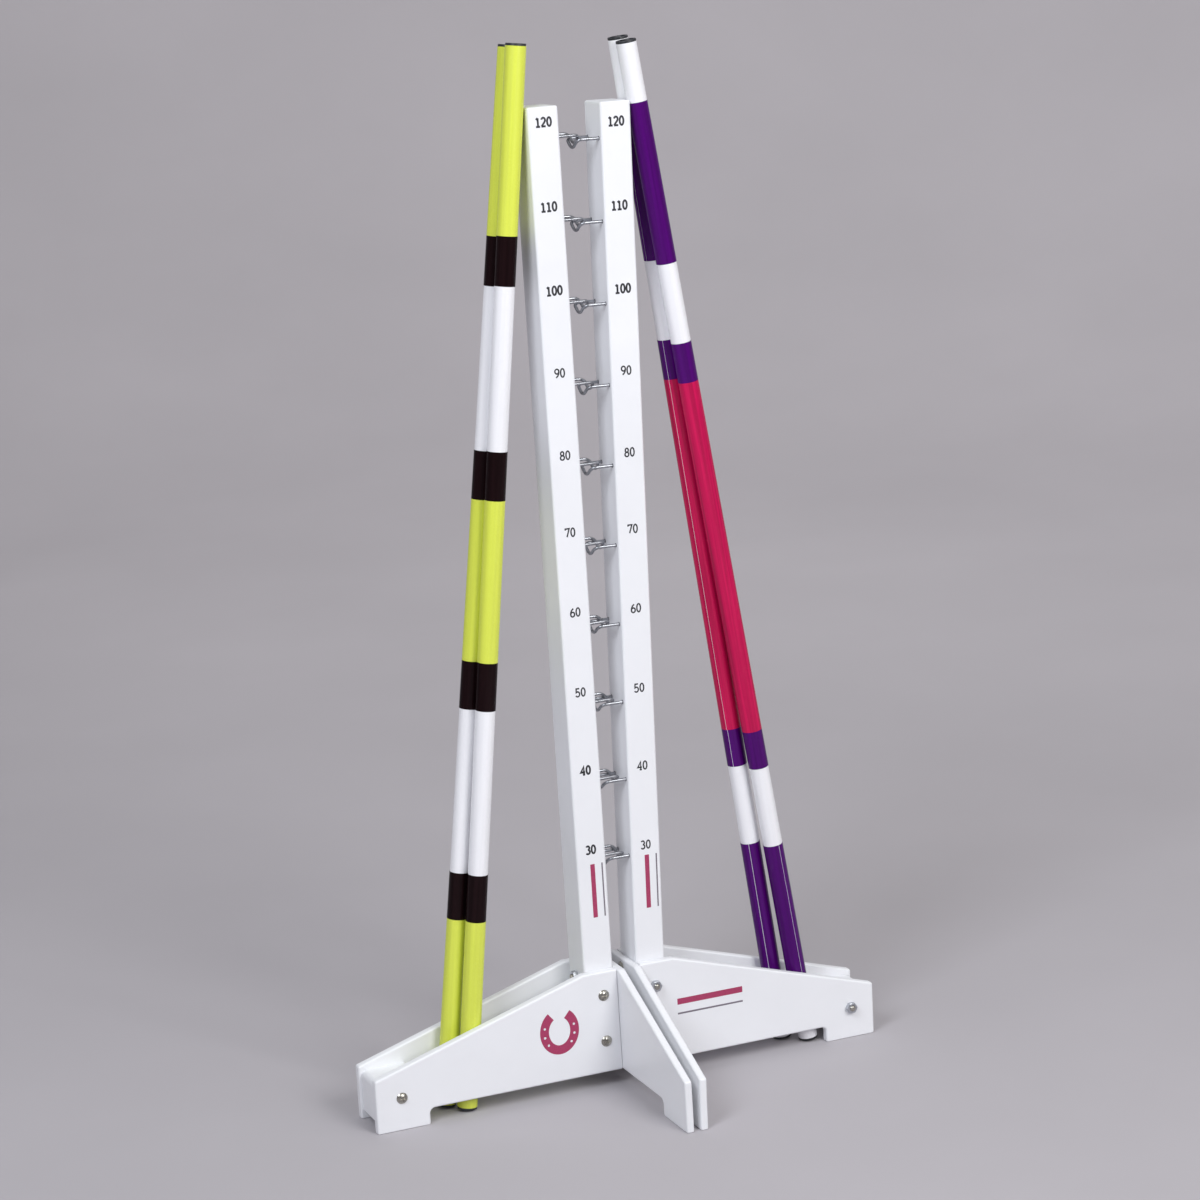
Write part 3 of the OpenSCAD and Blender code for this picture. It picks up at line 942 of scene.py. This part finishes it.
def cap(bm, pole, seat, tip):
    """One end cap: a plug in the tube, a rounded flange, and a dished face with a bar across it."""
    sign = 1 if tip > seat else -1
    plug_r = pole.bore - CAP_FIT
    plug_end = seat - sign * CAP_PLUG
    dish_r = pole.radius - CAP_RIM
    dish = tip - sign * CAP_DISH
    profile = [(plug_end, CAP_CORE), (plug_end, plug_r), (seat, plug_r), (seat, pole.radius)]
    profile += rounded_corner(tip, pole.radius, sign)
    profile += [
        (tip, dish_r), (dish + sign * CAP_FILLET_STEP, dish_r - CAP_FILLET_STEP),
        (dish, dish_r - CAP_FILLET), (dish, CAP_CORE),
    ]
    turned(bm, pole, profile)
    half = CAP_BAR / 2
    reach = math.sqrt(dish_r ** 2 - half ** 2)
    corners = []
    for along in (dish - sign * CAP_CORE, tip):
        for across, out in ((-reach, -half), (reach, -half), (reach, half), (-reach, half)):
            corners.append(bm.verts.new(
                pole.start + pole.ahead * along + pole.side * across + pole.other * out
            ))
    for face in BAR_FACES:
        bm.faces.new([corners[j] for j in face])


def caps(pole_name, pole):
    """The two end caps of one pole."""
    node = f"{pole_name}_caps"
    along = [(v.co - pole.start).dot(pole.ahead) for v in frame["nodes"][node].data.vertices]
    bm = bmesh.new()
    cap(bm, pole, 0.0, min(along))
    cap(bm, pole, pole.length, max(along))
    place_piece(f"{node}_black", bm, pole_name, CAP_BLACK, [node])


def build_pole(pole_name):
    """One pole: its tube, caps and tape bands."""
    pole = PoleFrame(pole_name)
    tube(pole_name, pole)
    caps(pole_name, pole)
    for colour in TAPES:
        if f"{pole_name}_{colour}" in frame["nodes"]:
            tape(pole_name, pole, colour)


# Numbers and stripes

def arc(centre_x, centre_y, reach_x, reach_y, first, last, steps=ARC_STEPS):
    """Points of an elliptic arc, angles in degrees."""
    turns = [math.radians(first + (last - first) * k / steps) for k in range(steps + 1)]
    return [(centre_x + reach_x * math.cos(t), centre_y + reach_y * math.sin(t)) for t in turns]


def turned_about(points):
    """Points turned half round about the middle of a digit."""
    return [(DIGIT_W_SHARE - x, 1.0 - y) for x, y in points]


# Strokes of the digits, from the lower left corner, as shares of a digit's height
SIX = [arc(0.30, 0.29, 0.23, 0.26, 0, 360), arc(0.55, 0.30, 0.48, 0.66, 180, 105)]
DIGITS = {
    "0": [arc(0.30, 0.50, 0.22, 0.46, 0, 360)],
    "1": [[(0.10, 0.80), (0.31, 0.96)], [(0.31, 0.96), (0.31, 0.04)], [(0.08, 0.04), (0.54, 0.04)]],
    "2": [arc(0.29, 0.70, 0.21, 0.26, 165, -35) + [(0.07, 0.05)], [(0.05, 0.04), (0.54, 0.04)]],
    "3": [arc(0.28, 0.74, 0.19, 0.22, 150, -90), arc(0.28, 0.28, 0.23, 0.24, 90, -150)],
    "4": [[(0.42, 0.04), (0.42, 0.96), (0.05, 0.32), (0.56, 0.32)], [(0.28, 0.04), (0.55, 0.04)]],
    "5": [[(0.50, 0.96), (0.13, 0.96), (0.11, 0.54)] + arc(0.27, 0.33, 0.24, 0.28, 125, -150)],
    "6": SIX,
    "7": [[(0.08, 0.80), (0.08, 0.96), (0.54, 0.96), (0.24, 0.04)]],
    "8": [arc(0.30, 0.74, 0.18, 0.22, 0, 360), arc(0.30, 0.28, 0.23, 0.24, 0, 360)],
    "9": [turned_about(points) for points in SIX],
}


def ribbon(bm, points, pen, matrix, height=INK_T):
    """A flat raised stroke along points in a plane."""
    closed = (Vector(points[0]) - Vector(points[-1])).length < SAME_STROKE_END
    path = [Vector(p) for p in (points[:-1] if closed else points)]
    count = len(path)
    rows = []
    for k, here in enumerate(path):
        before = path[k - 1] if closed or k else here
        after = path[(k + 1) % count] if closed or k < count - 1 else here
        into = (here - before).normalized() if before is not here else (after - here).normalized()
        out = (after - here).normalized() if after is not here else into
        ahead = (into + out).normalized()
        side = Vector((-ahead.y, ahead.x))
        half = pen / 2 / max(LEAST_MITRE, math.sqrt((1 + into.dot(out)) / 2))
        row = []
        for sign, rise in ((1, 0), (1, height), (-1, height), (-1, 0)):
            flat = here + side * half * sign
            row.append(bm.verts.new(matrix @ Vector((flat.x, flat.y, rise))))
        rows.append(row)
    join_rings(bm, rows, closed)
    if not closed:
        bm.faces.new(rows[0])
        bm.faces.new(rows[-1][::-1])


def face_matrix(place, right, up):
    """A plane's frame at a place, with its own right and up."""
    out = right.cross(up)
    matrix = Matrix((right, up, out)).transposed().to_4x4()
    return Matrix.Translation(place) @ matrix


def post_face(side, height):
    """Frame on the middle of a post's front face, at a height."""
    low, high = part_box(f"{side}_post")
    sign = -1 if side == "left" else 1
    lean = lean_matrix(side)
    width = (high.x - low.x) - (high.z - low.z) * math.tan(POST_LEAN)
    middle = lean @ Vector((wing_pivot(side).x + sign * width / 2, low.y, height))
    up = Vector((sign * math.sin(POST_LEAN), 0, math.cos(POST_LEAN)))
    right = Vector((up.z, 0, -up.x))
    return face_matrix(middle, right, up)


def number(side, k):
    """The number of one hook, on the post's front face."""
    value = FIRST_NUMBER + NUMBER_STEP * k
    pen = BOLD_PEN if value in BOLD_NUMBERS[side] else NUMBER_PEN
    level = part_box(f"{side}_hook_{k + 1}")[1].z - WIRE_R
    plane = post_face(side, level + NUMBER_RISES[k])
    text = str(value)
    bm = bmesh.new()
    for j, digit in enumerate(text):
        shift = (j - (len(text) - 1) / 2) * NUMBER_PITCH - DIGIT_W_SHARE / 2 * NUMBER_H
        for layer, stroke in enumerate(DIGITS[digit]):
            points = [(shift + x * NUMBER_H, (y - 0.5) * NUMBER_H) for x, y in stroke]
            ribbon(bm, points, pen, plane, INK_T + layer * LAYER_T)
    place_piece(f"{side}_number_{value}", bm, f"{side}_wing", NUMBER_INK)


def stripes(side):
    """Two plain stripes up a post, under its lowest number."""
    for name, ink, (across, width) in (
        ("berry_stripe", BERRY_INK, BERRY_STRIPE), ("grey_stripe", GREY_INK, GREY_STRIPE),
    ):
        bm = bmesh.new()
        plane = post_face(side, STRIPE_LOW)
        ribbon(bm, [(across, 0), (across, STRIPE_HIGH - STRIPE_LOW)], width, plane)
        place_piece(f"{side}_{name}", bm, f"{side}_wing", ink)


def board_face(side):
    """Frame on a front board's front face: from the joint with the cross board, at the floor."""
    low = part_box(f"{side}_front_board")[0]
    return face_matrix(Vector((wing_pivot(side).x, low.y, 0)), Vector((1, 0, 0)), Vector((0, 0, 1)))


def bars():
    """Two plain bars on the right wing's front board."""
    for name, ink, (up, width) in (("berry_bar", BERRY_INK, BERRY_BAR), ("grey_bar", GREY_INK, GREY_BAR)):
        bm = bmesh.new()
        ribbon(bm, [(BAR_NEAR, up), (BAR_FAR, up)], width, board_face("right"))
        place_piece(f"right_{name}", bm, "right_wing", ink)


def horseshoe():
    """A plain horseshoe on the left wing's front board, open at the top, with its nail holes left white."""
    plane = board_face("left") @ Matrix.Translation((-SHOE_OUT, SHOE_UP, 0))
    reach = (SHOE_HALF_W - SHOE_BAND / 2, SHOE_HALF_H - SHOE_BAND / 2)
    bm = bmesh.new()
    around = arc(0, 0, *reach, SHOE_TOP + SHOE_OPEN, SHOE_TOP + FULL_TURN - SHOE_OPEN, SHOE_STEPS)
    ribbon(bm, around, SHOE_BAND, plane)
    place_piece("left_horseshoe", bm, "left_wing", BERRY_INK)
    nails = bmesh.new()
    for turn in NAIL_TURNS:
        x, y = arc(0, 0, *reach, turn, turn, 1)[0]
        spot = plane @ Matrix.Translation((x, y, INK_T + NAIL_T / 2))
        bmesh.ops.create_cone(
            nails, cap_ends=True, segments=NAIL_SIDES, radius1=NAIL_R, radius2=NAIL_R, depth=NAIL_T,
            matrix=spot,
        )
    place_piece("left_horseshoe_nails", nails, "left_wing", WHITE_INK)


# Stage

def camera():
    """The camera at its place, turned by its yaw, pitch and roll."""
    ahead = Vector((math.sin(CAMERA_YAW), math.cos(CAMERA_YAW), 0))
    right = Vector((math.cos(CAMERA_YAW), -math.sin(CAMERA_YAW), 0))
    up = Vector((0, 0, 1))
    forward = ahead * math.cos(CAMERA_PITCH) + up * math.sin(CAMERA_PITCH)
    tilted_up = up * math.cos(CAMERA_PITCH) - ahead * math.sin(CAMERA_PITCH)
    rolled_right = right * math.cos(CAMERA_ROLL) + tilted_up * math.sin(CAMERA_ROLL)
    rolled_up = tilted_up * math.cos(CAMERA_ROLL) - right * math.sin(CAMERA_ROLL)
    data = bpy.data.cameras.new("camera")
    data.sensor_width = SENSOR
    data.lens = FOCAL_PIXELS / PICTURE_SIDE * SENSOR
    data.clip_end = CAMERA_REACH
    eye = bpy.data.objects.new("camera", data)
    turn = Matrix((rolled_right, rolled_up, -forward)).transposed().to_4x4()
    eye.matrix_world = Matrix.Translation(CAMERA_PLACE) @ turn
    bpy.context.collection.objects.link(eye)
    bpy.context.scene.camera = eye


def floor():
    """A pale round floor that sweeps up into a wall all the way round."""
    material, tree, shader = node_material("pale_floor")
    mottle = noise(tree, scale=1.1)
    grey = srgb(182, 178, 182)
    stops = [(NOISE_LOW, tinted(grey, 0.96)), (NOISE_HIGH, tinted(grey, 1.03))]
    tree.links.new(ramp(tree, mottle, stops), shader.inputs["Base Color"])
    tree.links.new(spread(tree, mottle, low=0.75, high=0.9), shader.inputs["Roughness"])
    profile = [(0.0, 0.0), (FLOOR_FLAT_R, 0.0)]
    for k in range(1, SWEEP_STEPS + 1):
        turn = math.pi / 2 * k / SWEEP_STEPS
        profile.append((
            FLOOR_FLAT_R + FLOOR_SWEEP_R * math.sin(turn), FLOOR_SWEEP_R * (1 - math.cos(turn))
        ))
    profile.append((FLOOR_FLAT_R + FLOOR_SWEEP_R, WALL_H))
    bm = bmesh.new()
    verts = [bm.verts.new((out, 0, up)) for out, up in profile]
    edges = [bm.edges.new(pair) for pair in zip(verts, verts[1:])]
    bmesh.ops.spin(
        bm, geom=verts + edges, cent=(0, 0, 0), axis=(0, 0, 1), angle=2 * math.pi, steps=FLOOR_SIDES,
        use_merge=True,
    )
    bmesh.ops.remove_doubles(bm, verts=bm.verts, dist=SAME_FLOOR_POINT)
    mesh = bpy.data.meshes.new("floor")
    bm.to_mesh(mesh)
    bm.free()
    mesh.shade_smooth()
    mesh.materials.append(material)
    ground = bpy.data.objects.new("floor", mesh)
    bpy.context.collection.objects.link(ground)


def area_light(name, place, size, watts, target=LIGHT_TARGET, colour=(1.0, 1.0, 1.0)):
    """A soft box at a place, turned to a target."""
    data = bpy.data.lights.new(name, "AREA")
    data.shape = "RECTANGLE"
    data.size, data.size_y = size
    data.energy = watts
    data.color = colour
    lamp = bpy.data.objects.new(name, data)
    lamp.location = place
    lamp.rotation_euler = (Vector(target) - Vector(place)).to_track_quat("-Z", "Y").to_euler()
    bpy.context.collection.objects.link(lamp)


def lights():
    """Two soft boxes from the front, a weak one from the right, one on the wall behind, and the sky."""
    area_light("key", place=(0.9, -3.4, 2.6), size=(1.6, 2.0), watts=88)
    area_light("fill", place=(-2.7, -2.0, 3.2), size=(1.4, 2.2), watts=90, colour=(0.90, 0.94, 1.0))
    area_light("right", place=(2.6, -2.2, 2.4), size=(1.4, 2.2), watts=14)
    area_light("wall", place=(1.6, 2.0, 4.5), target=(3.2, 6.0, 1.2), size=(3.0, 1.5), watts=108)
    world = bpy.data.worlds.new("studio")
    world.use_nodes = True
    background = world.node_tree.nodes["Background"]
    background.inputs["Color"].default_value = SKY_COLOUR
    background.inputs["Strength"].default_value = SKY_STRENGTH
    bpy.context.scene.world = world
    bpy.context.scene.view_settings.view_transform = "Standard"


camera()
for side in SIDES:
    build_wing(side)
    for k in range(HOOKS_PER_WING):
        number(side, k)
    stripes(side)
bars()
horseshoe()
for pole_name in POLES:
    build_pole(pole_name)
floor()
lights()
